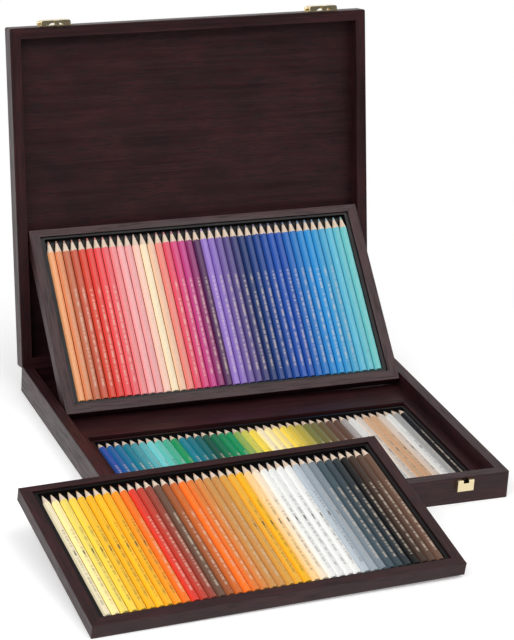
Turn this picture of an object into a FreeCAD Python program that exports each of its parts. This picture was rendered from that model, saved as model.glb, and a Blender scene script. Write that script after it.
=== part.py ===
import FreeCAD, Part
import os
from math import cos, radians, sin, tan

from FreeCAD import Placement, Rotation, Vector

# Wooden pencil case, all lengths in millimetres.  The base box lies flat with its underside on Z = 0
# and its origin under its middle; +X is the case's right, +Y its hinge side, +Z up.  It is drawn as it
# stands in use: lid open, one tray leaning on the lid, one tray lying over the front rim.

# ---- driving sizes: pencils -----------------------------------------------------------------------
pencils_per_row = 40
pencil_length = 175.0
pencil_flats = 6.9                # hexagon, across its flats
cone_length = 14.5                # sharpened end
lead_radius = 1.0                 # blunt end of the sharpened lead
pencil_gap = 0.3                  # between neighbouring corners
pencils_per_group = 10            # pencils that share one node

# ---- driving sizes: formed liner under each row ---------------------------------------------------
liner_floor = 1.2
liner_side_rim = 4.0
liner_end_rim = 2.4
liner_corner = 4.0                # radius of the liner's upright corners
liner_fit = 0.2                   # liner in its opening
liner_drop = 1.4                  # rim of the liner below the pencils' top faces
rib_height = 1.6                  # ridges that keep the pencils apart
rib_foot = 3.2
rib_crest = 1.4
side_play = 0.3                   # pencils to the liner's side rims
butt_play = 0.6                   # pencils to the liner's front rim
tip_play = 2.0                    # pencils to the liner's rear rim
seat_gap = 0.15                   # pencils over the liner's floor

# ---- driving sizes: loose trays -------------------------------------------------------------------
tray_board = 5.0
tray_rebate = 4.0                 # how far the board reaches into the rails
tray_side_rail = 10.8
tray_front_rail = 10.2
tray_rear_rail = 8.0
tray_lip = 0.25                   # rails stand this far over the pencils
tray_play = 1.5                   # tray to the case on each side
tray_edge_round = 0.6

# ---- driving sizes: case --------------------------------------------------------------------------
case_depth = 348.0
case_wall = 11.0
case_corner = 2.0                 # radius of the upright outer corners
case_edge_round = 0.8
base_board = 5.0
panel_rebate = 5.0                # how far the boards reach into the walls
deck_thick = 4.0
deck_lip = 0.75                   # deck stands this far over the base's pencils
deck_rear_gap = 6.0               # tips of the base's pencils to the deck's edge behind them
deck_mitre = 11.0                 # how far the joints between the deck's boards slant back
nest_gap = 0.5                    # over each tray when the case is shut
lid_panel = 4.0
lid_gap = 0.3                     # lid's rim over the base's rim
batten_wide = 10.0
batten_gap = 1.0

# ---- driving sizes: hinges ------------------------------------------------------------------------
open_angle = 102.0
hinge_inset = 3.0                 # pin's axis inside the back face
hinge_place = 110.0               # each hinge from the middle of the case
hinge_long = 38.0
hinge_screw_place = 13.3          # each screw from the middle of its hinge
hinge_thick = 1.0
knuckle_radius = 2.0
knuckles = 5
knuckle_play = 0.2
pin_radius = 0.9
pin_play = 0.05
stop_gap = 0.15                   # between the two bevels that stop the lid
leaf_margin = 0.6                 # leaf's inner edge to the wall's inner face

# ---- driving sizes: screws ------------------------------------------------------------------------
screw_shank = 0.8                 # radius
screw_head = 1.7                  # radius
screw_long = 7.0

# ---- driving sizes: catches -----------------------------------------------------------------------
catch_place = 145.0               # each catch from the middle of the case
keeper_wide = 17.0
keeper_tall = 11.3
keeper_thick = 4.5
keeper_drop = 2.0                 # keeper's top edge below the rim
keeper_round = 0.5
keeper_pin_place = 5.1            # each pin from the middle of the keeper
keeper_pin_rise = 3.4             # pins over the keeper's lower edge
keeper_pin_shank = 0.4            # radius
keeper_pin_head = 0.8             # radius
keeper_pin_bite = 3.5             # how far the pins reach into the wood
notch_wide = 5.8
notch_deep = 2.8
notch_floor = 1.2                 # metal behind the notch
latch_wide = 34.5
latch_tall = 9.0
latch_thick = 1.0
latch_rise = 0.5                  # plate's lower edge above the lid's rim
ear_thick = 1.8
eye_radius = 1.9                  # round ends of the ears and of the lever about the axle
axle_radius = 0.75
lever_play = 0.3                  # lever to the plate, to the ears and to the keeper
lever_thick = 1.8                 # at the middle of the bow
lever_proud = 6.2                 # lever's outer face in front of the lid
lever_corner = 2.2
leg_foot = 6.8                    # width of each leg of the bow at the plate
tongue_play = 0.4                 # tongue in the keeper's notch

# ---- driving sizes: how the loose trays lie -------------------------------------------------------
rest_gap = 0.3                    # a loose tray to what carries it
tray_end_gap = 1.0                # shut case: leaning tray to the lid's front rail
leaning_tray_slope = 44.2         # above the deck
front_tray_tilt = 10.5
front_tray_turn = 2.5             # in its own plane, its left end towards the front
front_tray_shift = -97.5          # sideways, from the middle of the case
floor_gap = 0.15

# ---- how far a cutter reaches past what it cuts, and what counts as the same place ------------------
cut_over = 1.0
same_place = 1e-6

# ---- worked out: pencils and liner ----------------------------------------------------------------
pencil_corners = pencil_flats / cos(radians(30.0))
pitch = pencil_corners + pencil_gap
row_span = pitch * (pencils_per_row - 1)
row_wide = row_span + pencil_corners
liner_wide = row_wide + 2.0 * (side_play + liner_side_rim)
liner_long = pencil_length + butt_play + tip_play + 2.0 * liner_end_rim
liner_seat = liner_floor + seat_gap
opening_wide = liner_wide + 2.0 * liner_fit
opening_long = liner_long + 2.0 * liner_fit

# ---- worked out: trays ----------------------------------------------------------------------------
tray_wide = opening_wide + 2.0 * tray_side_rail
tray_long = opening_long + tray_front_rail + tray_rear_rail
tray_tall = tray_board + liner_seat + pencil_flats + tray_lip

# ---- worked out: case -----------------------------------------------------------------------------
case_wide = tray_wide + 2.0 * (tray_play + case_wall)
half_wide = case_wide / 2.0
half_deep = case_depth / 2.0
inner_wide = case_wide - 2.0 * case_wall
inner_deep = case_depth - 2.0 * case_wall
deck_top = base_board + liner_seat + pencil_flats + deck_lip
base_tall = deck_top + tray_tall + nest_gap
lid_low = base_tall + lid_gap
lid_hollow = tray_tall + nest_gap
lid_tall = lid_hollow + lid_panel
lid_top = lid_low + lid_tall
well_rear = -half_deep + case_wall + opening_long + deck_rear_gap - tip_play

# ---- worked out: the hinge line and the lid's own directions --------------------------------------
pin_y = half_deep - hinge_inset
pin_z = base_tall + lid_gap / 2.0
opening = radians(open_angle)


def on_lid(reach, rise):
    """Place of a point of the open lid: reach from the hinge line, rise out of the closed rim."""
    y = pin_y - reach * cos(opening) + rise * sin(opening)
    z = pin_z + reach * sin(opening) + rise * cos(opening)
    return Vector(0.0, y, z)


def opened(shape):
    """Turn a piece of the closed lid about the hinge line to the open lid."""
    copy = shape.copy()
    copy.rotate(Vector(0.0, pin_y, pin_z), Vector(1.0, 0.0, 0.0), -open_angle)
    return copy


# ---- general shapes -------------------------------------------------------------------------------
def block(x0, x1, y0, y1, z0, z1):
    """Box between two corners."""
    return Part.makeBox(x1 - x0, y1 - y0, z1 - z0, Vector(x0, y0, z0))


def rod(radius, x0, x1, y, z):
    """Round bar along X."""
    return Part.makeCylinder(radius, x1 - x0, Vector(x0, y, z), Vector(1.0, 0.0, 0.0))


def upright_edges(shape):
    """Edges that run along Z."""
    found = []
    for edge in shape.Edges:
        start, end = edge.Vertexes[0].Point, edge.Vertexes[-1].Point
        level = abs(start.z - end.z) < same_place
        if abs(start.x - end.x) < same_place and abs(start.y - end.y) < same_place and not level:
            found.append(edge)
    return found


def level_edges(shape, z):
    """Edges that lie in the plane of height z."""
    return [edge for edge in shape.Edges if all(abs(v.Point.z - z) < same_place for v in edge.Vertexes)]


def rounded_block(x0, x1, y0, y1, z0, z1, radius):
    """Box with rounded upright edges."""
    solid = block(x0, x1, y0, y1, z0, z1)
    return solid.makeFillet(radius, upright_edges(solid))


def prism(points, direction):
    """Polygon swept along a straight direction."""
    wire = Part.makePolygon(points + [points[0]])
    return Part.Face(wire).extrude(direction)


def mitred_rails(ring, outer, inner, z0, z1):
    """Cut a rectangular ring at its corners into left, right, front and rear rails."""
    (ox0, ox1, oy0, oy1), (ix0, ix1, iy0, iy1) = outer, inner
    corners = {
        "left": [(ox0, oy0), (ix0, iy0), (ix0, iy1), (ox0, oy1)],
        "right": [(ox1, oy0), (ox1, oy1), (ix1, iy1), (ix1, iy0)],
        "front": [(ox0, oy0), (ox1, oy0), (ix1, iy0), (ix0, iy0)],
        "rear": [(ox0, oy1), (ix0, iy1), (ix1, iy1), (ox1, oy1)],
    }
    rails = {}
    for side, outline in corners.items():
        wedge = prism([Vector(x, y, z0) for x, y in outline], Vector(0.0, 0.0, z1 - z0))
        rails[side] = ring.common(wedge)
    return rails


def screw(radius_shank, radius_head, length):
    """Countersunk screw along -Z with its flat head's face on Z = 0."""
    head_deep = radius_head - radius_shank
    head = Part.makeCone(radius_shank, radius_head, head_deep, Vector(0.0, 0.0, -head_deep))
    shank = Part.makeCylinder(radius_shank, length - head_deep, Vector(0.0, 0.0, -length))
    return head.fuse(shank).removeSplitter()


def placed(shape, turn, move):
    """Copy of a shape, turned by a rotation and then moved."""
    copy = shape.copy()
    copy.Placement = Placement(move, turn).multiply(copy.Placement)
    return copy


# ---- pencils and liner, in a frame of their own ---------------------------------------------------
# x from the middle of the row, y from the front edge of the liner, z from the board under the liner.
def pencil():
    """Sharpened hexagonal pencil along +Y with a flat on top; its axis is the line x = z = 0."""
    radius = pencil_corners / 2.0
    corners = [radians(60.0 * k) for k in range(6)]
    outline = [Vector(radius * cos(a), 0.0, radius * sin(a)) for a in corners]
    barrel = prism(outline, Vector(0.0, pencil_length, 0.0))
    flare_long = 2.0 * cone_length
    flare_radius = lead_radius + (radius - lead_radius) * flare_long / cone_length
    profile = [
        Vector(0.0, 0.0, 0.0),
        Vector(flare_radius, 0.0, 0.0),
        Vector(flare_radius, pencil_length - flare_long, 0.0),
        Vector(lead_radius, pencil_length, 0.0),
        Vector(0.0, pencil_length, 0.0),
    ]
    cutter = Part.Face(Part.makePolygon(profile + [profile[0]]))
    cutter = cutter.revolve(Vector(0.0, 0.0, 0.0), Vector(0.0, 1.0, 0.0), 360.0)
    return barrel.common(cutter)


def pencil_groups():
    """The row of pencils, as groups that lie side by side from left to right."""
    one = pencil()
    groups = []
    for first in range(0, pencils_per_row, pencils_per_group):
        count = min(pencils_per_group, pencils_per_row - first)
        copies = []
        for index in range(first, first + count):
            x = index * pitch - row_span / 2.0
            y = liner_end_rim + butt_play
            z = liner_seat + pencil_flats / 2.0
            copies.append(placed(one, Rotation(), Vector(x, y, z)))
        groups.append(Part.makeCompound(copies))
    return groups


def liner():
    """Formed black liner: a floor with low ridges between the pencils and a rim all round."""
    x0, x1 = -liner_wide / 2.0, liner_wide / 2.0
    rim_top = liner_seat + pencil_flats - liner_drop
    shell = rounded_block(x0, x1, 0.0, liner_long, 0.0, rim_top, liner_corner)
    pocket_corner = liner_corner / 4.0
    pocket = rounded_block(x0 + liner_side_rim, x1 - liner_side_rim, liner_end_rim,
                           liner_long - liner_end_rim, liner_floor, rim_top + cut_over, pocket_corner)
    shell = shell.cut(pocket)
    rib_y0 = liner_end_rim + pocket_corner
    rib_y1 = liner_long - liner_end_rim - tip_play - cone_length
    rib_low = liner_floor / 2.0
    ridges = []
    for index in range(1, pencils_per_row):
        x = index * pitch - row_span / 2.0 - pitch / 2.0
        outline = [
            Vector(x - rib_foot / 2.0, rib_y0, rib_low),
            Vector(x + rib_foot / 2.0, rib_y0, rib_low),
            Vector(x + rib_foot / 2.0, rib_y0, liner_floor),
            Vector(x + rib_crest / 2.0, rib_y0, liner_floor + rib_height),
            Vector(x - rib_crest / 2.0, rib_y0, liner_floor + rib_height),
            Vector(x - rib_foot / 2.0, rib_y0, liner_floor),
        ]
        ridges.append(prism(outline, Vector(0.0, rib_y1 - rib_y0, 0.0)))
    shell = shell.fuse(ridges).removeSplitter()
    return shell


# ---- a loose tray, in a frame of its own ----------------------------------------------------------
# x from the middle, y from the outer face of the front rail, z from the underside.
def tray():
    """Mitred rails round a board: the pieces of one tray, without what lies in it."""
    half = tray_wide / 2.0
    outer = (-half, half, 0.0, tray_long)
    inner = (-half + tray_side_rail, half - tray_side_rail, tray_front_rail, tray_long - tray_rear_rail)
    ring = block(*outer, 0.0, tray_tall)
    rims = level_edges(ring, 0.0) + level_edges(ring, tray_tall) + upright_edges(ring)
    ring = ring.makeFillet(tray_edge_round, rims)
    ring = ring.cut(block(*inner, -cut_over, tray_tall + cut_over))
    board = block(inner[0] - tray_rebate, inner[1] + tray_rebate, inner[2] - tray_rebate,
                  inner[3] + tray_rebate, 0.0, tray_board)
    ring = ring.cut(board)
    pieces = {}
    for side, rail in mitred_rails(ring, outer, inner, 0.0, tray_tall).items():
        pieces[side + "_rail"] = rail
    pieces["board"] = board
    return pieces


liner_shape = liner()
row_groups = pencil_groups()
tray_pieces = tray()


def filled_tray(prefix, group_names, turn, move):
    """All nodes of one loose tray with its liner and pencils, set down at its place."""
    nodes = {}
    for name, shape in tray_pieces.items():
        nodes[prefix + "_tray_" + name] = placed(shape, turn, move)
    seat = Vector(0.0, tray_front_rail + liner_fit, tray_board)
    inside = move + turn.multVec(seat)
    nodes[prefix + "_tray_liner"] = placed(liner_shape, turn, inside)
    for name, group in zip(group_names, row_groups):
        nodes[prefix + "_pencils_" + name] = placed(group, turn, inside)
    return nodes


# ---- hinges, on the closed case -------------------------------------------------------------------
def hinge(centre):
    """One butt hinge: lower leaf, upper leaf, pin, and the seats that both leaves need in the wood."""
    x0, x1 = centre - hinge_long / 2.0, centre + hinge_long / 2.0
    inner_edge = half_deep - case_wall + leaf_margin
    step = hinge_long / knuckles
    leaves = {}
    for name, low, high, turn in (("lower", base_tall - hinge_thick, base_tall, 0),
                                  ("upper", lid_low, lid_low + hinge_thick, 1)):
        leaf = block(x0, x1, inner_edge, pin_y, low, high)
        for index in range(knuckles):
            k0, k1 = x0 + index * step, x0 + (index + 1) * step
            if index % 2 == turn:
                leaf = leaf.fuse(rod(knuckle_radius, k0 + knuckle_play / 2.0, k1 - knuckle_play / 2.0,
                                     pin_y, pin_z))
            else:
                room = rod(knuckle_radius + knuckle_play, k0 - knuckle_play / 2.0, k1 + knuckle_play / 2.0,
                           pin_y, pin_z)
                leaf = leaf.cut(room)
        bore = rod(pin_radius + pin_play, x0 - cut_over, x1 + cut_over, pin_y, pin_z)
        leaves[name] = leaf.cut(bore).removeSplitter()
    pin = rod(pin_radius, x0, x1, pin_y, pin_z)
    room = rod(knuckle_radius + knuckle_play, x0 - knuckle_play, x1 + knuckle_play, pin_y, pin_z)
    seats = {
        "lower": room.fuse(block(x0, x1, inner_edge, pin_y, base_tall - hinge_thick, base_tall + cut_over)),
        "upper": room.fuse(block(x0, x1, inner_edge, pin_y, lid_low - cut_over, lid_low + hinge_thick)),
    }
    return leaves, pin, seats


def hinge_screws(centre, upper):
    """Two screws through one leaf of a hinge."""
    reach = (half_deep - case_wall + leaf_margin + pin_y - knuckle_radius) / 2.0
    face = lid_low if upper else base_tall
    turn = Rotation(Vector(1.0, 0.0, 0.0), 180.0) if upper else Rotation()
    one = screw(screw_shank, screw_head, screw_long)
    return [placed(one, turn, Vector(centre + place, reach, face))
            for place in (-hinge_screw_place, hinge_screw_place)]


# ---- case: base and lid ---------------------------------------------------------------------------
def frame_ring(z0, z1):
    """Ring of case walls with rounded outer corners, eased along the rim and the far edge."""
    ring = rounded_block(-half_wide, half_wide, -half_deep, half_deep, z0, z1, case_corner)
    eased = level_edges(ring, z0) + level_edges(ring, z1)
    ring = ring.makeFillet(case_edge_round, eased)
    inner = (-inner_wide / 2.0, inner_wide / 2.0, -inner_deep / 2.0, inner_deep / 2.0)
    return ring.cut(block(*inner, z0 - cut_over, z1 + cut_over))


def stop_bevel(upward):
    """Wedge taken off the back edge; the base's and the lid's bevels meet when the lid is open."""
    half_angle = radians(open_angle / 2.0)
    side = 1.0 if upward else -1.0
    reach = hinge_inset + cut_over
    lift = stop_gap / 2.0
    y0, z0 = pin_y, pin_z
    drop = reach * tan(half_angle)
    outline = [
        Vector(-half_wide - cut_over, y0, z0 - side * (lid_gap + cut_over)),
        Vector(-half_wide - cut_over, y0, z0 + side * lift),
        Vector(-half_wide - cut_over, y0 + reach, z0 + side * (lift + drop)),
        Vector(-half_wide - cut_over, y0 + reach, z0 - side * (lid_gap + cut_over)),
    ]
    return prism(outline, Vector(case_wide + 2.0 * cut_over, 0.0, 0.0))


case_outer = (-half_wide, half_wide, -half_deep, half_deep)
case_inner = (-inner_wide / 2.0, inner_wide / 2.0, -inner_deep / 2.0, inner_deep / 2.0)
board_x = inner_wide / 2.0 + panel_rebate
board_y = inner_deep / 2.0 + panel_rebate

lower_leaves, upper_leaves, pins = {}, {}, {}
base_screws, lid_screws = [], []
base_ring = frame_ring(0.0, base_tall).cut(stop_bevel(False))
lid_ring = frame_ring(lid_low, lid_top).cut(stop_bevel(True))
for side, centre in (("left", -hinge_place), ("right", hinge_place)):
    leaves, pin, seats = hinge(centre)
    low_screws, high_screws = hinge_screws(centre, False), hinge_screws(centre, True)
    base_ring = base_ring.cut(seats["lower"]).cut(low_screws)
    lid_ring = lid_ring.cut(seats["upper"]).cut(high_screws)
    lower_leaves[side] = leaves["lower"].cut(low_screws)
    upper_leaves[side] = leaves["upper"].cut(high_screws)
    pins[side] = pin
    base_screws += low_screws
    lid_screws += high_screws

base_floor = block(-board_x, board_x, -board_y, board_y, 0.0, base_board)
lid_board = block(-board_x, board_x, -board_y, board_y, lid_top - lid_panel, lid_top)
base_ring = base_ring.cut(base_floor)
lid_ring = lid_ring.cut(lid_board)

# ---- deck of the base: boards round the well of the third row, on battens --------------------------
well_half = opening_wide / 2.0
well_front = -inner_deep / 2.0
deck_low = deck_top - deck_thick
deck_outer = (case_inner[0], case_inner[1], well_front, case_inner[3])
deck_corners = {
    "rear": [(deck_outer[0], deck_outer[3]), (deck_outer[0], well_rear + deck_mitre),
             (-well_half, well_rear), (well_half, well_rear),
             (deck_outer[1], well_rear + deck_mitre), (deck_outer[1], deck_outer[3])],
    "left": [(deck_outer[0], well_front), (-well_half, well_front), (-well_half, well_rear),
             (deck_outer[0], well_rear + deck_mitre)],
    "right": [(deck_outer[1], well_front), (deck_outer[1], well_rear + deck_mitre),
              (well_half, well_rear), (well_half, well_front)],
}
deck = {}
for side, outline in deck_corners.items():
    deck[side] = prism([Vector(x, y, deck_low) for x, y in outline], Vector(0.0, 0.0, deck_thick))

batten_rear_y = case_inner[3] - batten_gap
battens = {
    "rear": block(-well_half, well_half, batten_rear_y - batten_wide, batten_rear_y, base_board, deck_low),
    "front": block(-well_half, well_half, well_rear + batten_gap, well_rear + batten_gap + batten_wide,
                   base_board, deck_low),
    "left": block(case_inner[0] + batten_gap, -well_half - batten_gap, well_front + batten_gap,
                  well_rear, base_board, deck_low),
    "right": block(well_half + batten_gap, case_inner[1] - batten_gap, well_front + batten_gap,
                   well_rear, base_board, deck_low),
}


# ---- catches, on the closed case ------------------------------------------------------------------
front_y = -half_deep
plate_low = lid_low + latch_rise
axle_stand = latch_thick + lever_play + eye_radius
axle_z = plate_low + latch_tall - eye_radius
axle_y = front_y - axle_stand
keeper_high = base_tall - keeper_drop
keeper_low = keeper_high - keeper_tall
lever_half = latch_wide / 2.0 - ear_thick - lever_play
lever_back = front_y - latch_thick - lever_play
lever_front = front_y - lever_proud
lever_low = keeper_high + tongue_play


def keeper(centre):
    """Brass keeper on the base's front face, with the notch that the lever's tongue drops into."""
    plate = block(centre - keeper_wide / 2.0, centre + keeper_wide / 2.0, front_y - keeper_thick, front_y,
                  keeper_low, keeper_high)
    face = [edge for edge in plate.Edges
            if all(abs(v.Point.y - front_y + keeper_thick) < same_place for v in edge.Vertexes)]
    plate = plate.makeFillet(keeper_round, face)
    notch = block(centre - notch_wide / 2.0, centre + notch_wide / 2.0, front_y - keeper_thick - cut_over,
                  front_y - notch_floor, keeper_high - notch_deep, keeper_high + cut_over)
    return plate.cut(notch)


def keeper_pins(centre):
    """Two small pins that hold the keeper."""
    one = screw(keeper_pin_shank, keeper_pin_head, keeper_thick + keeper_pin_bite)
    turn = Rotation(Vector(1.0, 0.0, 0.0), 90.0)
    z = keeper_low + keeper_pin_rise
    face = front_y - keeper_thick
    return [placed(one, turn, Vector(centre + place, face, z))
            for place in (-keeper_pin_place, keeper_pin_place)]


def latch_plate(centre):
    """Brass plate on the lid's front face with an ear at each end for the lever's axle."""
    x0, x1 = centre - latch_wide / 2.0, centre + latch_wide / 2.0
    plate = block(x0, x1, front_y - latch_thick, front_y, plate_low, plate_low + latch_tall)
    for e0, e1 in ((x0, x0 + ear_thick), (x1 - ear_thick, x1)):
        ear = rod(eye_radius, e0, e1, axle_y, axle_z)
        web = block(e0, e1, axle_y, front_y - latch_thick, axle_z - eye_radius, axle_z + eye_radius)
        plate = plate.fuse(ear).fuse(web)
    return plate.cut(rod(axle_radius, x0 - cut_over, x1 + cut_over, axle_y, axle_z)).removeSplitter()


def latch_screws(centre):
    """Two countersunk screws through the latch plate, under the bow of the lever."""
    one = screw(screw_shank, screw_head, screw_long)
    turn = Rotation(Vector(1.0, 0.0, 0.0), 90.0)
    z = plate_low + (latch_tall - 2.0 * eye_radius) / 2.0
    face = front_y - latch_thick
    offset = (lever_half - leg_foot) / 2.0
    return [placed(one, turn, Vector(centre + side * offset, face, z)) for side in (-1.0, 1.0)]


def latch_axle(centre):
    """Axle through both ears."""
    return rod(axle_radius, centre - latch_wide / 2.0, centre + latch_wide / 2.0, axle_y, axle_z)


def latch_lever(centre):
    """Bowed brass lever that turns on the axle; the tongue in its middle drops into the keeper's notch."""
    x0, x1 = centre - lever_half, centre + lever_half
    lever = block(x0, x1, lever_front, lever_back, lever_low, axle_z)
    lever = lever.fuse(block(x0, x1, lever_front, axle_y, axle_z, axle_z + eye_radius))
    lever = lever.fuse(rod(eye_radius, x0, x1, axle_y, axle_z)).removeSplitter()
    outer = [edge for edge in upright_edges(lever)
             if abs(edge.Vertexes[0].Point.y - lever_front) < same_place]
    lever = lever.makeFillet(lever_corner, outer)
    span = lever_half - leg_foot
    rise = lever_back - lever_front - lever_thick
    radius = (span * span + rise * rise) / (2.0 * rise)
    bow = Part.makeCylinder(radius, 4.0 * latch_tall,
                            Vector(centre, lever_back - rise + radius, lever_low - latch_tall))
    lever = lever.cut(bow)
    half = notch_wide / 2.0 - tongue_play
    tongue = block(centre - half, centre + half, lever_front, front_y - notch_floor - tongue_play,
                   keeper_high - notch_deep + tongue_play, lever_low)
    root = block(centre - half, centre + half, lever_front, lever_front + lever_thick, lever_low,
                 lever_low + lever_thick)
    lever = lever.fuse(tongue).fuse(root)
    bore = rod(axle_radius + pin_play, centre - latch_wide, centre + latch_wide, axle_y, axle_z)
    return lever.cut(bore).removeSplitter()


# ---- nodes ----------------------------------------------------------------------------------------
nodes = {}
for side, wall in mitred_rails(base_ring, case_outer, case_inner, 0.0, base_tall).items():
    nodes["base_" + side + "_wall"] = wall
nodes["base_floor_board"] = base_floor
for side, board in deck.items():
    nodes["deck_" + side + "_board"] = board
nodes["deck_battens"] = Part.makeCompound(list(battens.values()))
base_seat = Vector(0.0, well_front + liner_fit, base_board)
nodes["base_liner"] = placed(liner_shape, Rotation(), base_seat)
for name, group in zip(("teals", "greens", "olives", "silvers"), row_groups):
    nodes["base_pencils_" + name] = placed(group, Rotation(), base_seat)

for side, rail in mitred_rails(lid_ring, case_outer, case_inner, lid_low, lid_top).items():
    nodes["lid_" + side + "_rail"] = opened(rail)
nodes["lid_panel"] = opened(lid_board)
for side in ("left", "right"):
    nodes["hinge_lower_leaf_" + side] = lower_leaves[side]
    nodes["hinge_upper_leaf_" + side] = opened(upper_leaves[side])
    nodes["hinge_pin_" + side] = pins[side]
nodes["hinge_screws_lower"] = Part.makeCompound(base_screws)
nodes["hinge_screws_upper"] = opened(Part.makeCompound(lid_screws))

keeper_fixings, plate_fixings = [], []
for side, centre in (("left", -catch_place), ("right", catch_place)):
    fixings = keeper_pins(centre)
    nodes["keeper_" + side] = keeper(centre).cut(fixings)
    nodes["base_front_wall"] = nodes["base_front_wall"].cut(fixings)
    keeper_fixings += fixings
    fixings = latch_screws(centre)
    nodes["latch_plate_" + side] = opened(latch_plate(centre).cut(fixings))
    nodes["lid_front_rail"] = nodes["lid_front_rail"].cut([opened(one) for one in fixings])
    plate_fixings += fixings
    nodes["latch_axle_" + side] = opened(latch_axle(centre))
    nodes["latch_lever_" + side] = opened(latch_lever(centre))
nodes["keeper_pins"] = Part.makeCompound(keeper_fixings)
nodes["latch_screws"] = opened(Part.makeCompound(plate_fixings))

# Leaning tray.  In the shut case it lies in the lid's hollow, pencils up, its rear end at tray_reach
# from the hinge line.  Opened, its front lower edge stands on the deck and its rear lower edge meets
# the lid's panel.  One turn in the lid takes the rear lower edge from shut_corner to lean_corner, and
# the line it turns about follows from those two places and the angle between them.
slope = radians(leaning_tray_slope)
tray_reach = pin_y + half_deep - case_wall - tray_end_gap - tray_long
shut_corner = on_lid(tray_reach, lid_low - pin_z + seat_gap)
panel_rise = lid_low - pin_z + lid_hollow - rest_gap
corner_z = deck_top + rest_gap + tray_long * sin(slope)
lean_corner = on_lid((corner_z - pin_z - panel_rise * cos(opening)) / sin(opening), panel_rise)
fold = slope + opening
across = shut_corner - lean_corner
pivot = (shut_corner + lean_corner) * 0.5 - Vector(0.0, -across.z, across.y) * (0.5 / tan(fold / 2.0))
lean_turn = Rotation(Vector(1.0, 0.0, 0.0), leaning_tray_slope)
lean_place = lean_corner - lean_turn.multVec(Vector(0.0, tray_long, 0.0))
nodes.update(filled_tray("leaning", ("reds", "pinks", "violets", "blues"), lean_turn, lean_place))

# Front tray: its underside lies along the base's front rim and one front corner is on the ground.
tilt = radians(front_tray_tilt)
corner_drop = tray_wide / 2.0 * abs(sin(radians(front_tray_turn))) * sin(tilt)
front_rise = floor_gap + corner_drop
front_run = (base_tall + rest_gap / cos(tilt) - front_rise) / tan(tilt)
front_turn = Rotation(Vector(1.0, 0.0, 0.0), front_tray_tilt)
front_turn = front_turn.multiply(Rotation(Vector(0.0, 0.0, 1.0), front_tray_turn))
front_place = Vector(front_tray_shift, -half_deep - front_run, front_rise)
nodes.update(filled_tray("front", ("yellows", "oranges", "ochres", "greys"), front_turn, front_place))

os.makedirs("parts", exist_ok=True)
for name, shape in nodes.items():
    shape.exportStep("parts/" + name + ".step")
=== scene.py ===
from math import cos, pi, radians, sin
from random import Random

import bpy
from mathutils import Matrix, Vector


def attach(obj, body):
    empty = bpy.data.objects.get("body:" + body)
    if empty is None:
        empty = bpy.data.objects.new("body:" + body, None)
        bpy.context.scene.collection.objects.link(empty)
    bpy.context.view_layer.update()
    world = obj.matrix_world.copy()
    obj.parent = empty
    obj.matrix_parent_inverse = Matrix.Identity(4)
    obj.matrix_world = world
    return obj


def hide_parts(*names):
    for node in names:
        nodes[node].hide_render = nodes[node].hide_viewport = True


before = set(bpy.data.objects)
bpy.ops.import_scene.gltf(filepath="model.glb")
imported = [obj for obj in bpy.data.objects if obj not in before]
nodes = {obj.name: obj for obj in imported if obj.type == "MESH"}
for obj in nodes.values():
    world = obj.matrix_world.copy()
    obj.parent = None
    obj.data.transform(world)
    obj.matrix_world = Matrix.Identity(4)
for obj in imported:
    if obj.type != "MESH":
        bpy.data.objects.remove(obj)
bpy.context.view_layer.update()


# ---- table, studio light and camera ---------------------------------------------------------------
# The case stands on a white table in a white studio that is darker on the side of the viewer, so that
# lacquered faces turned to the front stay deep and faces turned away pick up a pale sheen.
def feed(tree, socket, value):
    """Give an input a fixed value, or link it to another node's result."""
    if isinstance(value, bpy.types.NodeSocket):
        tree.links.new(value, socket)
    else:
        socket.default_value = value


def add_node(tree, kind, **inputs):
    """One shader node; inputs are given by socket name, with _ for a space."""
    made = tree.nodes.new(kind)
    for key, value in inputs.items():
        feed(tree, made.inputs[key.replace("_", " ")], value)
    return made


def math_node(tree, operation, *values):
    """A Math node over numbers or sockets; returns its result."""
    made = tree.nodes.new("ShaderNodeMath")
    made.operation = operation
    for socket, value in zip(made.inputs, values):
        feed(tree, socket, value)
    return made.outputs[0]


def vector_node(tree, operation, first, second):
    """A Vector Math node with a number for its result."""
    made = tree.nodes.new("ShaderNodeVectorMath")
    made.operation = operation
    feed(tree, made.inputs[0], first)
    feed(tree, made.inputs[1], second)
    return made.outputs["Value"]


def map_range(tree, value, low, high, to_low=0.0, to_high=1.0):
    """Clamped linear map of a value."""
    made = add_node(tree, "ShaderNodeMapRange", Value=value, From_Min=low, From_Max=high, To_Min=to_low,
                    To_Max=to_high)
    return made.outputs["Result"]


def mix_value(tree, factor, first, second):
    """Blend of two numbers."""
    made = add_node(tree, "ShaderNodeMix", Factor=factor)
    feed(tree, made.inputs[2], first)
    feed(tree, made.inputs[3], second)
    return made.outputs[0]


def mix_shader(tree, factor, first, second):
    """Blend of two shaders."""
    made = add_node(tree, "ShaderNodeMixShader", Fac=factor)
    tree.links.new(first.outputs[0], made.inputs[1])
    tree.links.new(second.outputs[0], made.inputs[2])
    return made


def new_material(name):
    """An empty node material and its tree."""
    material = bpy.data.materials.new(name)
    material.use_nodes = True
    material.node_tree.nodes.clear()
    return material, material.node_tree


white = (1.0, 1.0, 1.0, 1.0)
table_tone = (0.86, 0.86, 0.86, 1.0)
table_size = 14.0
shadow_centre = Vector((-0.06, -0.13, 0.0))
shadow_room, shadow_end = 0.34, 0.62      # the shadow fades out between these distances from there
table_glow = 0.30                         # light of its own, so that the lit table shows white
sheen_near, sheen_far = 0.5, 1.1          # the table is bright round the case and dim far in front of it
sheen_front, sheen_back = -0.1, 0.4       # between these places along Y it turns bright again
sheen_dim = 0.15


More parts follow.
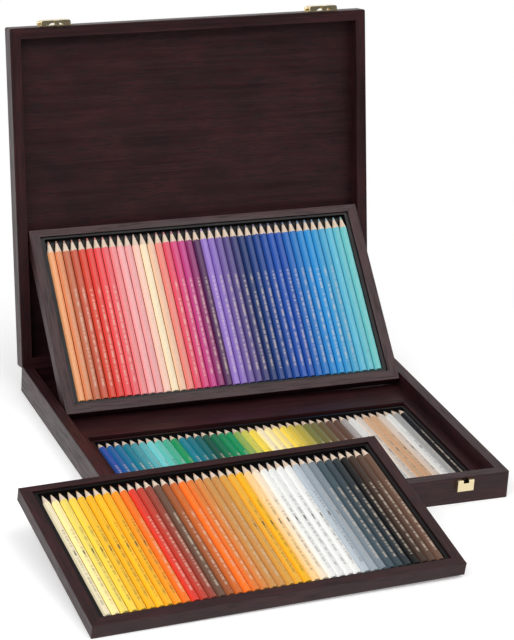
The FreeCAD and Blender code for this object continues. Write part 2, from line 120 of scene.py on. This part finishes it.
def white_table():
    """Paper white to the camera with a soft shadow; reflections see it dimmer towards the viewer."""
    material, tree = new_material("white_table")
    rays = tree.nodes.new("ShaderNodeLightPath")
    seen = rays.outputs["Is Camera Ray"]
    spot = tree.nodes.new("ShaderNodeTexCoord").outputs["Object"]
    reach = vector_node(tree, "DISTANCE", spot, shadow_centre)
    paper = add_node(tree, "ShaderNodeBsdfDiffuse", Color=table_tone)
    lift = add_node(tree, "ShaderNodeEmission", Color=white,
                    Strength=math_node(tree, "MULTIPLY", seen, table_glow))
    lit_paper = tree.nodes.new("ShaderNodeAddShader")
    tree.links.new(paper.outputs[0], lit_paper.inputs[0])
    tree.links.new(lift.outputs[0], lit_paper.inputs[1])
    plain = add_node(tree, "ShaderNodeEmission", Color=white, Strength=1.0)
    far_off = map_range(tree, reach, shadow_room, shadow_end)
    view = mix_shader(tree, math_node(tree, "MULTIPLY", seen, far_off), lit_paper, plain)
    apart = add_node(tree, "ShaderNodeSeparateXYZ", Vector=spot)
    near = map_range(tree, reach, sheen_near, sheen_far, 1.0, sheen_dim)
    behind = map_range(tree, apart.outputs["Y"], sheen_front, sheen_back, sheen_dim, 1.0)
    mirrored = add_node(tree, "ShaderNodeEmission", Color=white,
                        Strength=math_node(tree, "MAXIMUM", near, behind))
    reflected = math_node(tree, "MAXIMUM", rays.outputs["Is Glossy Ray"],
                          rays.outputs["Is Transmission Ray"])
    whole = mix_shader(tree, reflected, view, mirrored)
    add_node(tree, "ShaderNodeOutputMaterial", Surface=whole.outputs[0])
    return material


half = table_size / 2.0
table_mesh = bpy.data.meshes.new("table_top")
corners = [(-half, -half, 0.0), (half, -half, 0.0), (half, half, 0.0), (-half, half, 0.0)]
table_mesh.from_pydata(corners, [], [(0, 1, 2, 3)])
table_mesh.materials.append(white_table())
table_top = bpy.data.objects.new("table_top", table_mesh)
bpy.context.scene.collection.objects.link(table_top)

studio_front, studio_back = 0.12, 0.95    # brightness of the studio before and behind the case
studio_turn = (-0.35, 0.4)                # it changes from one to the other between these directions along Y
studio_left = ("X", -0.55, -0.85, 1.3)    # axis, directions where it starts and is full, brightness
studio_top = ("Z", 0.34, 0.62, 0.42)
panel_aim = Vector((0.35, -0.42, 0.84))   # soft panel overhead, a little in front of the case
panel_rim, panel_core = 0.86, 0.96        # cosines from its aim
panel_light = 2.9


def studio_world():
    """Light from all round by direction, plain white to the camera."""
    studio = bpy.data.worlds.new("studio")
    studio.use_nodes = True
    tree = studio.node_tree
    tree.nodes.clear()
    direction = tree.nodes.new("ShaderNodeTexCoord").outputs["Generated"]
    apart = add_node(tree, "ShaderNodeSeparateXYZ", Vector=direction)
    level = map_range(tree, apart.outputs["Y"], *studio_turn, studio_front, studio_back)
    for axis, low, high, goal in (studio_left, studio_top):
        level = mix_value(tree, map_range(tree, apart.outputs[axis], low, high), level, goal)
    facing = vector_node(tree, "DOT_PRODUCT", direction, panel_aim)
    level = mix_value(tree, map_range(tree, facing, panel_rim, panel_core), level, panel_light)
    rays = tree.nodes.new("ShaderNodeLightPath")
    level = mix_value(tree, rays.outputs["Is Camera Ray"], level, 1.0)
    sky = add_node(tree, "ShaderNodeBackground", Color=white, Strength=level)
    add_node(tree, "ShaderNodeOutputWorld", Surface=sky.outputs[0])
    return studio


bpy.context.scene.world = studio_world()

lamp_place = Vector((-1.2, -0.8, 1.4))
lamp_aim = Vector((0.0, 0.0, 0.05))
lamp_wide, lamp_tall = 1.4, 1.0
lamp_power = 13.0
lamp = bpy.data.lights.new("softbox", "AREA")
lamp.shape = "RECTANGLE"
lamp.size = lamp_wide
lamp.size_y = lamp_tall
lamp.energy = lamp_power
softbox = bpy.data.objects.new("softbox", lamp)
softbox.location = lamp_place
softbox.rotation_euler = (lamp_aim - lamp_place).to_track_quat("-Z", "Y").to_euler()
bpy.context.scene.collection.objects.link(softbox)

camera_place = Vector((-0.91560, -2.18717, 1.14498))
camera_turn = 22.540                      # to the right of straight on
camera_dip = 23.130                       # below the horizon
camera_roll = 3.630
camera_film = 36.0                        # height of the film
camera_lens = 148.36
camera_reach = 50.0                       # the farthest that it sees
camera_data = bpy.data.cameras.new("camera")
camera_data.sensor_fit = "VERTICAL"
camera_data.sensor_height = camera_film
camera_data.lens = camera_lens
camera_data.clip_end = camera_reach
camera = bpy.data.objects.new("camera", camera_data)
bpy.context.scene.collection.objects.link(camera)
camera.matrix_world = (Matrix.Translation(camera_place)
                       @ Matrix.Rotation(radians(-camera_turn), 4, "Z")
                       @ Matrix.Rotation(radians(90.0 - camera_dip), 4, "X")
                       @ Matrix.Rotation(radians(camera_roll), 4, "Z"))
bpy.context.scene.camera = camera
bpy.context.scene.view_settings.view_transform = "Standard"


# ---- case: base, deck and lid ---------------------------------------------------------------------
# Solid hardwood walls, mitred at the corners, round thin boards.  All of it is stained to a deep red
# black and lacquered with a satin coat, so that the pores still show as fine dark lines.
case_slope = 0.0
lid_slope = -102.0
stain_deep = (0.0150, 0.0038, 0.0046, 1.0)
stain_warm = (0.0450, 0.0105, 0.0125, 1.0)
pore_tone = (0.0060, 0.0022, 0.0026, 1.0)
streak = (0.120, 0.0045)                  # length and width of one streak of colour
cloud_patch = (0.05, 0.03)                # length and width of one of the cloudy patches between streaks
solid_pore = (0.024, 0.0011)              # length and width of one pore of the solid wood
veneer_pore = (0.014, 0.0012)             # the same in the lid panel, where pores are shorter
solid_streaks, veneer_streaks = 0.6, 0.35     # share of the streaks in the colour, against the patches
noise_low, noise_high = 0.3, 0.7          # range that a noise texture keeps to for the most part
warm_low, warm_high = 0.34, 0.66          # noise over which the stain goes from deep to warm
pore_edge, pore_middle = 0.50, 0.64       # noise over which a pore goes from its edge to its middle
pore_cover = 0.75                         # how far a pore hides the stain
pore_depth = 0.00006
coat_level = 0.40                         # strength of the coat's reflection
coat_tint = (1.0, 0.90, 0.90, 1.0)
satin_low, satin_high = 0.33, 0.50        # roughness of the coat
pore_dull = 0.14                          # added to it over a pore


def mix_colour(tree, factor, first, second):
    """Blend of two colours, each a socket or a fixed value."""
    made = tree.nodes.new("ShaderNodeMix")
    made.data_type = "RGBA"
    for socket, value in ((made.inputs[0], factor), (made.inputs[6], first), (made.inputs[7], second)):
        feed(tree, socket, value)
    return made.outputs[2]


def across_grain(tree, run, slope, long, wide, turn=0.0):
    """Object coordinates turned flat with the board and squeezed so that one unit is one grain figure."""
    coordinates = tree.nodes.new("ShaderNodeTexCoord").outputs["Object"]
    flat = add_node(tree, "ShaderNodeMapping", Vector=coordinates,
                    Rotation=(radians(-slope), 0.0, radians(-turn)))
    scale = (1.0 / long, 1.0 / wide, 1.0 / wide) if run == "X" else (1.0 / wide, 1.0 / long, 1.0 / wide)
    squeezed = add_node(tree, "ShaderNodeMapping", Vector=flat.outputs[0], Scale=scale)
    return squeezed.outputs[0]


def stained_wood(name, run, slope, turn=0.0, streaks=solid_streaks, pore=solid_pore):
    """Dark stained hardwood; its grain runs along X or Y of a board that is sloped and turned."""
    material, tree = new_material(name)
    figure = add_node(tree, "ShaderNodeTexNoise", Scale=1.0, Detail=5.0, Roughness=0.62, Distortion=0.6,
                      Vector=across_grain(tree, run, slope, *streak, turn))
    cloud = add_node(tree, "ShaderNodeTexNoise", Scale=1.0, Detail=3.0, Roughness=0.6,
                     Vector=across_grain(tree, run, slope, *cloud_patch, turn))
    pores = add_node(tree, "ShaderNodeTexNoise", Scale=1.0, Detail=2.0, Roughness=0.5,
                     Vector=across_grain(tree, run, slope, *pore, turn))
    patches = math_node(tree, "MULTIPLY", cloud.outputs["Fac"], 1.0 - streaks)
    warmth = math_node(tree, "MULTIPLY_ADD", figure.outputs["Fac"], streaks, patches)
    stain = mix_colour(tree, map_range(tree, warmth, warm_low, warm_high), stain_deep, stain_warm)
    open_pore = map_range(tree, pores.outputs["Fac"], pore_edge, pore_middle)
    colour = mix_colour(tree, math_node(tree, "MULTIPLY", open_pore, pore_cover), stain, pore_tone)
    gloss = map_range(tree, figure.outputs["Fac"], noise_low, noise_high, satin_low, satin_high)
    gloss = math_node(tree, "MULTIPLY_ADD", open_pore, pore_dull, gloss)
    relief = add_node(tree, "ShaderNodeBump", Strength=0.5, Distance=pore_depth,
                      Height=math_node(tree, "SUBTRACT", 1.0, open_pore))
    surface = add_node(tree, "ShaderNodeBsdfPrincipled", Base_Color=colour, Roughness=gloss,
                       Specular_IOR_Level=coat_level, Specular_Tint=coat_tint, Normal=relief.outputs[0])
    add_node(tree, "ShaderNodeOutputMaterial", Surface=surface.outputs[0])
    return material


def finish(material, *names):
    """Give pieces of the frame their finish."""
    for name in names:
        mesh = nodes[name].data
        mesh.materials.clear()
        mesh.materials.append(material)


finish(stained_wood("case_wood_across", "X", case_slope),
       "base_front_wall", "base_rear_wall", "deck_rear_board", "deck_battens", "base_floor_board")
finish(stained_wood("case_wood_along", "Y", case_slope),
       "base_left_wall", "base_right_wall", "deck_left_board", "deck_right_board")
finish(stained_wood("lid_wood_across", "X", lid_slope), "lid_front_rail", "lid_rear_rail")
finish(stained_wood("lid_wood_along", "Y", lid_slope), "lid_left_rail", "lid_right_rail")
finish(stained_wood("lid_panel_veneer", "X", lid_slope, streaks=veneer_streaks, pore=veneer_pore),
       "lid_panel")

# ---- loose trays ----------------------------------------------------------------------------------
# Two shallow trays of the same wood: mitred rails round a board, with sharp corners.  One leans on
# the open lid, the other lies over the front rim of the base.
tray_slopes = {"base": 0.0, "leaning": 44.2, "front": 10.5}
tray_turns = {"base": 0.0, "leaning": 0.0, "front": 2.5}
for tray in ("leaning", "front"):
    lie = (tray_slopes[tray], tray_turns[tray])
    part = tray + "_tray_"
    finish(stained_wood(part + "wood_across", "X", *lie),
           part + "front_rail", part + "rear_rail", part + "board")
    finish(stained_wood(part + "wood_along", "Y", *lie), part + "left_rail", part + "right_rail")

# ---- liners ---------------------------------------------------------------------------------------
# Black plastic sheet, drawn down over a mould: a rim all round, and low ridges that part the pencils.
liner_tone = (0.0075, 0.0062, 0.0065, 1.0)
liner_smooth, liner_hazed = 0.31, 0.44    # roughness
liner_shine = 0.22                        # strength of the reflection
peel_depth = 0.00005


def black_sheet():
    """Formed black plastic with a slight orange peel."""
    material, tree = new_material("liner_black")
    coordinates = tree.nodes.new("ShaderNodeTexCoord").outputs["Object"]
    haze = add_node(tree, "ShaderNodeTexNoise", Vector=coordinates, Scale=60.0, Detail=3.0)
    rough = map_range(tree, haze.outputs["Fac"], noise_low, noise_high, liner_smooth, liner_hazed)
    peel = add_node(tree, "ShaderNodeTexNoise", Vector=coordinates, Scale=900.0, Detail=1.0)
    relief = add_node(tree, "ShaderNodeBump", Strength=0.2, Distance=peel_depth, Height=peel.outputs["Fac"])
    surface = add_node(tree, "ShaderNodeBsdfPrincipled", Base_Color=liner_tone, Roughness=rough,
                       Specular_IOR_Level=liner_shine, Normal=relief.outputs[0])
    add_node(tree, "ShaderNodeOutputMaterial", Surface=surface.outputs[0])
    return material


finish(black_sheet(), "base_liner", "leaning_tray_liner", "front_tray_liner")

# ---- brass ----------------------------------------------------------------------------------------
# Hinges, catches, keepers and their screws are bright drawn brass, a little brushed along the case.
brass_tone = (0.83, 0.66, 0.36, 1.0)
brass_pale = (0.93, 0.82, 0.56, 1.0)
brush_line = (0.012, 0.0004)              # length and width
brush_depth = 0.00003
brass_bright, brass_dull = 0.18, 0.32     # roughness
painted_notch_shade = (0.030, 0.022, 0.012, 1.0)      # painted shade, dark brown, down in the keepers' notches
notch_shade_half = 0.0033                     # half its width, a little past the notch's walls
notch_shade_deep = 0.0030                     # from the keeper's top, a little past the notch's floor
bright_skin = 0.0003                      # the keeper's front face stays bright to this depth


def extent(piece, directions=Matrix()):
    """Lowest and highest corner of a piece of the frame, along the given directions."""
    turned = directions.inverted() @ piece.matrix_world
    places = [turned @ vertex.co for vertex in piece.data.vertices]
    return [Vector([limit(place[axis] for place in places) for axis in range(3)]) for limit in (min, max)]


def in_notch(tree):
    """1 inside either keeper's notch, and 0 elsewhere; the keepers stand as far left as right."""
    low, high = extent(nodes["keeper_right"])
    coordinates = tree.nodes.new("ShaderNodeTexCoord").outputs["Object"]
    apart = add_node(tree, "ShaderNodeSeparateXYZ", Vector=coordinates)
    aside = math_node(tree, "SUBTRACT", math_node(tree, "ABSOLUTE", apart.outputs["X"]),
                      (low.x + high.x) / 2.0)
    inside = math_node(tree, "LESS_THAN", math_node(tree, "ABSOLUTE", aside), notch_shade_half)
    above = math_node(tree, "GREATER_THAN", apart.outputs["Z"], high.z - notch_shade_deep)
    behind = math_node(tree, "GREATER_THAN", apart.outputs["Y"], low.y + bright_skin)
    return math_node(tree, "MULTIPLY", math_node(tree, "MULTIPLY", inside, above), behind)


def drawn_brass(name, notched=False):
    """Bright brass, with painted shade inside the keepers' notches."""
    material, tree = new_material(name)
    lines = add_node(tree, "ShaderNodeTexNoise", Vector=across_grain(tree, "X", 0.0, *brush_line), Scale=1.0,
                     Detail=2.0)
    colour = mix_colour(tree, lines.outputs["Fac"], brass_tone, brass_pale)
    if notched:
        # painted shade: the keepers' notches are darkened inside
        colour = mix_colour(tree, in_notch(tree), colour, painted_notch_shade)
    rough = map_range(tree, lines.outputs["Fac"], noise_low, noise_high, brass_bright, brass_dull)
    relief = add_node(tree, "ShaderNodeBump", Strength=0.15, Distance=brush_depth,
                      Height=lines.outputs["Fac"])
    surface = add_node(tree, "ShaderNodeBsdfPrincipled", Base_Color=colour, Metallic=1.0, Roughness=rough,
                       Normal=relief.outputs[0])
    add_node(tree, "ShaderNodeOutputMaterial", Surface=surface.outputs[0])
    return material


bpy.context.view_layer.update()
keepers = ("keeper_left", "keeper_right")
fittings = [name for name in nodes if name.startswith(("hinge_", "latch_", "keeper_"))]
finish(drawn_brass("bright_brass"), *(name for name in fittings if name not in keepers))
finish(drawn_brass("keeper_brass", notched=True), *keepers)


# ---- pencils --------------------------------------------------------------------------------------
# Hexagonal cedar pencils, dipped in lacquer of their own colour and sharpened by machine: the cone is
# bare wood with a scalloped lacquer edge, and the lead is a greyed shade of the pencil's colour.  A row
# of short dashes is stamped on the upper face.
pencil_length = 0.175
pencil_flats = 0.0069
pencil_corners = pencil_flats / cos(pi / 6.0)
cone_length = 0.0145
lead_length = 0.0032
lead_tip = 0.00055                        # radius
lead_cap = 0.0002
edge_round = 0.0004
edge_width = 6                            # the higher, the nearer to the edge its rounding starts
butt_round = 0.0004
pencils_per_group = 10
samples_per_face = 6
uneven_length = 0.0003
lacquer, bare_wood, lead, butt = 0.0, 1.0, 2.0, 3.0       # zones of one pencil
zone_room = 0.3                           # a zone's number is met within this


def hexagon_radius(angle):
    """Radius of the hexagon with its edges eased, flat on top."""
    off_face = abs((angle - pi / 3.0) % (pi / 3.0) - pi / 6.0)
    return pencil_flats / 2.0 / cos(off_face) - edge_round * (off_face / (pi / 6.0)) ** edge_width


def pencil_mesh():
    """One sharpened pencil along +Y with its axis on the origin, with its zones and its own places."""
    count = 6 * samples_per_face
    angles = [2.0 * pi * k / count for k in range(count)]
    slope = (pencil_corners / 2.0 - lead_tip) / cone_length
    lead_radius = lead_tip + slope * lead_length
    outlines = [
        [(hexagon_radius(a) - butt_round, 0.0) for a in angles],
        [(hexagon_radius(a), butt_round) for a in angles],
        [(hexagon_radius(a), pencil_length - (hexagon_radius(a) - lead_tip) / slope) for a in angles],
        [(lead_radius, pencil_length - lead_length) for a in angles],
        [(lead_tip, pencil_length) for a in angles],
    ]
    vertices = [(r * cos(a), y, r * sin(a)) for ring in outlines for a, (r, y) in zip(angles, ring)]
    faces, zones = [], []
    for level, zone in enumerate((lacquer, lacquer, bare_wood, lead)):
        for k in range(count):
            low, high, following = level * count, (level + 1) * count, (k + 1) % count
            faces.append((low + k, high + k, high + following, low + following))
            zones.append(zone)
    last = (len(outlines) - 1) * count
    centre, point = len(vertices), len(vertices) + 1
    vertices += [(0.0, 0.0, 0.0), (0.0, pencil_length + lead_cap, 0.0)]
    for k in range(count):
        following = (k + 1) % count
        faces += [(k, following, centre), (last + following, last + k, point)]
        zones += [butt, lead]
    mesh = bpy.data.meshes.new("pencil")
    mesh.from_pydata(vertices, [], faces)
    mesh.attributes.new("zone", "FLOAT", "FACE").data.foreach_set("value", zones)
    for name, axis in (("aside", 0), ("along", 1), ("above", 2)):
        values = [v.co[axis] for v in mesh.vertices]
        mesh.attributes.new(name, "FLOAT", "POINT").data.foreach_set("value", values)
    mesh.polygons.foreach_set("use_smooth", [zone in (bare_wood, lead) for zone in zones])
    return mesh


def row_layout():
    """Copies of the pencil side by side, each a little further back or forward and numbered."""
    group = bpy.data.node_groups.new("pencil_row", "GeometryNodeTree")
    for name, kind in (("Geometry", "Geometry"), ("Count", "Int"), ("Pitch", "Float"), ("Uneven", "Float"),
                       ("Seed", "Int"), ("Paint", "Material")):
        group.interface.new_socket(name, in_out="INPUT", socket_type="NodeSocket" + kind)
    group.interface.new_socket("Geometry", in_out="OUTPUT", socket_type="NodeSocketGeometry")
    given = group.nodes.new("NodeGroupInput").outputs
    offset = add_node(group, "ShaderNodeCombineXYZ", X=given["Pitch"])
    line = add_node(group, "GeometryNodeMeshLine", Count=given["Count"], Offset=offset.outputs[0])
    uneven = group.nodes.new("FunctionNodeRandomValue")
    uneven.data_type = "FLOAT"
    feed(group, uneven.inputs["Seed"], given["Seed"])
    feed(group, uneven.inputs[2], math_node(group, "MULTIPLY", given["Uneven"], -1.0))
    feed(group, uneven.inputs[3], given["Uneven"])
    shove = add_node(group, "ShaderNodeCombineXYZ", Y=uneven.outputs[1])
    moved = add_node(group, "GeometryNodeSetPosition", Geometry=line.outputs["Mesh"],
                     Offset=shove.outputs[0])
    counted = group.nodes.new("GeometryNodeStoreNamedAttribute")
    counted.data_type = "FLOAT"
    counted.domain = "POINT"
    feed(group, counted.inputs["Name"], "which")
    feed(group, counted.inputs["Geometry"], moved.outputs[0])
    feed(group, counted.inputs["Value"], group.nodes.new("GeometryNodeInputIndex").outputs[0])
    copies = add_node(group, "GeometryNodeInstanceOnPoints", Points=counted.outputs[0],
                      Instance=given["Geometry"])
    real = add_node(group, "GeometryNodeRealizeInstances", Geometry=copies.outputs[0])
    painted = add_node(group, "GeometryNodeSetMaterial", Geometry=real.outputs[0], Material=given["Paint"])
    result = group.nodes.new("NodeGroupOutput")
    feed(group, result.inputs[0], painted.outputs[0])
    return group


pencil_source = pencil_mesh()
pencil_row = row_layout()


def own(tree, name):
    """A value that the pencils' mesh carries."""
    made = tree.nodes.new("ShaderNodeAttribute")
    made.attribute_name = name
    return made.outputs["Fac"]


def between(tree, value, low, high):
    """1 where the value lies between two limits, and 0 elsewhere."""
    return math_node(tree, "MULTIPLY", math_node(tree, "GREATER_THAN", value, low),
                     math_node(tree, "LESS_THAN", value, high))


print_start, print_end = 0.012, 0.120     # stamped marks, from the butt
mark_pitch, mark_half = 0.0019, 0.0013
mark_core = 0.6                           # share of a mark's width that is fully printed
mark_missing, mark_full = 0.15, 0.75      # chances between which a mark goes from faint to full
mark_faint = 0.10
print_strength, pale_strength = 0.42, 0.06
tick_start, tick_end, tick_half = 0.082, 0.0885, 0.0006   # a dark tick on the pale pencils
tick_strength = 0.85
pale_low, pale_high = 0.30, 0.42          # brightness from which the print is dark instead of foil
foil_tone = (0.80, 0.66, 0.52, 1.0)
ink_tone = (0.05, 0.045, 0.04, 1.0)
cedar_deep = (0.66, 0.47, 0.33, 1.0)
cedar_pale = (0.86, 0.74, 0.62, 1.0)
fibre = (0.008, 0.0005)                   # length and width
lead_grey = (0.42, 0.38, 0.36, 1.0)
lead_shade = 0.50
lacquer_gloss, bare_gloss = 0.36, 0.62    # roughness
lacquer_shine = 0.36                      # strength of the reflection
painted_groove_glow = 0.40                        # painted light: the lacquer glows in its own colour down its sides, for light that neighbouring pencils throw on each other


def picked_colour(tree, colours):
    """The colour that belongs to a pencil's number in its group."""
    ramp = tree.nodes.new("ShaderNodeValToRGB")
    ramp.color_ramp.interpolation = "CONSTANT"
    stops = ramp.color_ramp.elements
    while len(stops) < len(colours):
        stops.new(1.0)
    for k, colour in enumerate(colours):
        stops[k].position = k / len(colours)
        stops[k].color = (*colour, 1.0)
    middle = math_node(tree, "ADD", own(tree, "which"), 0.5)
    feed(tree, ramp.inputs[0], math_node(tree, "DIVIDE", middle, float(len(colours))))
    return ramp.outputs[0]


def printed(tree, colour, on_barrel, ticked):
    """The lacquer's colour with stamped marks along the upper face, and a dark tick where asked."""
    along = own(tree, "along")
    aside = math_node(tree, "ABSOLUTE", own(tree, "aside"))
    grey = add_node(tree, "ShaderNodeRGBToBW", Color=colour)
    pale = map_range(tree, grey.outputs[0], pale_low, pale_high)
    cell = add_node(tree, "ShaderNodeCombineXYZ", Y=math_node(tree, "ROUND", own(tree, "which")),
                    X=math_node(tree, "FLOOR", math_node(tree, "DIVIDE", along, mark_pitch)))
    chance = add_node(tree, "ShaderNodeTexWhiteNoise", Vector=cell.outputs[0])
    stamped = map_range(tree, chance.outputs["Value"], mark_missing, mark_full, mark_faint, 1.0)
    marks = math_node(tree, "MULTIPLY", between(tree, along, print_start, print_end),
                      map_range(tree, aside, mark_half * mark_core, mark_half, 1.0, 0.0))
    marks = math_node(tree, "MULTIPLY", math_node(tree, "MULTIPLY", marks, stamped), on_barrel)
    strength = map_range(tree, pale, 0.0, 1.0, print_strength, print_strength if ticked else pale_strength)
    ink = mix_colour(tree, pale, foil_tone, ink_tone)
    colour = mix_colour(tree, math_node(tree, "MULTIPLY", marks, strength), colour, ink)
    if ticked:
        tick = math_node(tree, "MULTIPLY", between(tree, along, tick_start, tick_end),
                         math_node(tree, "LESS_THAN", aside, tick_half))
        tick = math_node(tree, "MULTIPLY", math_node(tree, "MULTIPLY", tick, on_barrel), pale)
        colour = mix_colour(tree, math_node(tree, "MULTIPLY", tick, tick_strength), colour, ink_tone)
    return colour


def pencil_paint(name, colours, ticked):
    """Lacquer, bare wood and lead for one group; a pencil's place in the row picks its colour."""
    material, tree = new_material(name)
    zone, above = own(tree, "zone"), own(tree, "above")
    is_lacquer = math_node(tree, "LESS_THAN", zone, (lacquer + bare_wood) / 2.0)
    is_bare = math_node(tree, "COMPARE", zone, bare_wood, zone_room)
    is_lead = math_node(tree, "COMPARE", zone, lead, zone_room)
    on_barrel = math_node(tree, "MULTIPLY", math_node(tree, "GREATER_THAN", above, 0.0), is_lacquer)
    barrel = printed(tree, picked_colour(tree, colours), on_barrel, ticked)
    fibres = add_node(tree, "ShaderNodeTexNoise", Scale=1.0, Detail=3.0,
                      Vector=across_grain(tree, "Y", 0.0, *fibre))
    cedar = mix_colour(tree, fibres.outputs["Fac"], cedar_deep, cedar_pale)
    whole = mix_colour(tree, is_bare, barrel, cedar)
    whole = mix_colour(tree, math_node(tree, "MULTIPLY", is_lead, lead_shade), whole, lead_grey)
    gloss = map_range(tree, is_lacquer, 0.0, 1.0, bare_gloss, lacquer_gloss)
    # painted light: the lacquer glows in its own colour below the pencil's middle, fading out towards its
    # top face
    painted_groove_light = map_range(tree, above, 0.0, pencil_flats / 2.0, painted_groove_glow, 0.0)
    surface = add_node(tree, "ShaderNodeBsdfPrincipled", Base_Color=whole, Roughness=gloss,
                       Specular_IOR_Level=lacquer_shine, Emission_Color=whole,
                       Emission_Strength=math_node(tree, "MULTIPLY", painted_groove_light, is_lacquer))
    add_node(tree, "ShaderNodeOutputMaterial", Surface=surface.outputs[0])
    return material


paints = {
    "white": (0.80, 0.80, 0.78), "cream": (0.86, 0.76, 0.52), "lemon": (0.88, 0.68, 0.10),
    "gold": (0.90, 0.48, 0.02), "apricot": (0.78, 0.34, 0.15), "orange": (0.84, 0.18, 0.02),
    "scarlet": (0.70, 0.05, 0.03), "rose": (0.78, 0.10, 0.12), "pink": (0.84, 0.40, 0.40),
    "magenta": (0.55, 0.06, 0.25), "plum": (0.10, 0.03, 0.11), "lilac": (0.30, 0.18, 0.55),
    "navy": (0.015, 0.03, 0.11), "cobalt": (0.02, 0.09, 0.40), "sky": (0.03, 0.31, 0.65),
    "aqua": (0.18, 0.58, 0.58), "teal": (0.01, 0.22, 0.30), "emerald": (0.01, 0.32, 0.12),
    "forest": (0.01, 0.09, 0.06), "olive": (0.20, 0.20, 0.06), "ochre": (0.55, 0.27, 0.08),
    "terracotta": (0.48, 0.13, 0.07), "umber": (0.14, 0.075, 0.05), "silver": (0.45, 0.50, 0.55),
    "slate": (0.06, 0.09, 0.11), "black": (0.008, 0.007, 0.007),
}
paint_runs = {                            # paints that each group blends through, from left to right
    "leaning_pencils_reds": ("apricot", "terracotta", "scarlet", "rose", "pink"),
    "leaning_pencils_pinks": ("pink", "cream", "rose", "magenta", "plum"),
    "leaning_pencils_violets": ("lilac", "navy", "cobalt"),
    "leaning_pencils_blues": ("cobalt", "sky", "aqua"),
    "base_pencils_teals": ("cobalt", "teal", "aqua", "emerald"),
    "base_pencils_greens": ("teal", "forest", "emerald", "lemon"),
    "base_pencils_olives": ("cream", "lemon", "olive", "umber"),
    "base_pencils_silvers": ("umber", "white", "ochre", "white", "black"),
    "front_pencils_yellows": ("cream", "lemon", "gold", "gold", "orange"),
    "front_pencils_oranges": ("scarlet", "umber", "orange", "ochre"),
    "front_pencils_ochres": ("ochre", "gold", "white", "white"),
    "front_pencils_greys": ("silver", "slate", "black", "umber"),
}
uneven_coat = 0.08                        # how much lighter or darker one pencil may be than its blend


def blended(names, count, chance):
    """Colours of a row of pencils that blends evenly through the named paints."""
    colours = []
    for k in range(count):
        place = k / (count - 1) * (len(names) - 1)
        first = min(int(place), len(names) - 2)
        mixed = Vector(paints[names[first]]).lerp(Vector(paints[names[first + 1]]), place - first)
        colours.append(tuple(mixed * chance.uniform(1.0 - uneven_coat, 1.0 + uneven_coat)))
    return colours


def laid_out(name, values):
    """The mesh of one row of pencils, side by side from the origin."""
    row = bpy.data.objects.new(name + "_row", pencil_source)
    bpy.context.scene.collection.objects.link(row)
    layout = row.modifiers.new("row", "NODES")
    layout.node_group = pencil_row
    for item in pencil_row.interface.items_tree:
        if item.in_out == "INPUT" and item.name in values:
            layout[item.identifier] = values[item.name]
    bpy.context.view_layer.update()
    mesh = bpy.data.meshes.new_from_object(row.evaluated_get(bpy.context.evaluated_depsgraph_get()))
    bpy.data.objects.remove(row)
    return mesh


for seed, (name, paint_names) in enumerate(paint_runs.items()):
    where = name.split("_")[0]
    directions = (Matrix.Rotation(radians(tray_slopes[where]), 4, "X")
                  @ Matrix.Rotation(radians(tray_turns[where]), 4, "Z"))
    low, high = extent(nodes[name], directions)
    start = Vector((low.x + pencil_corners / 2.0, low.y, (low.z + high.z) / 2.0))
    colours = blended(paint_names, pencils_per_group, Random(seed))
    mesh = laid_out(name, {
        "Count": pencils_per_group,
        "Pitch": (high.x - low.x - pencil_corners) / (pencils_per_group - 1),
        "Uneven": uneven_length,
        "Seed": seed + 1,
        "Paint": pencil_paint(name + "_paint", colours, where != "leaning"),
    })
    mesh.transform(directions @ Matrix.Translation(start))
    piece = bpy.data.objects.new(name + "_lacquered", mesh)
    bpy.context.scene.collection.objects.link(piece)
    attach(piece, "case_base" if where == "base" else where + "_tray")
    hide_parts(name)
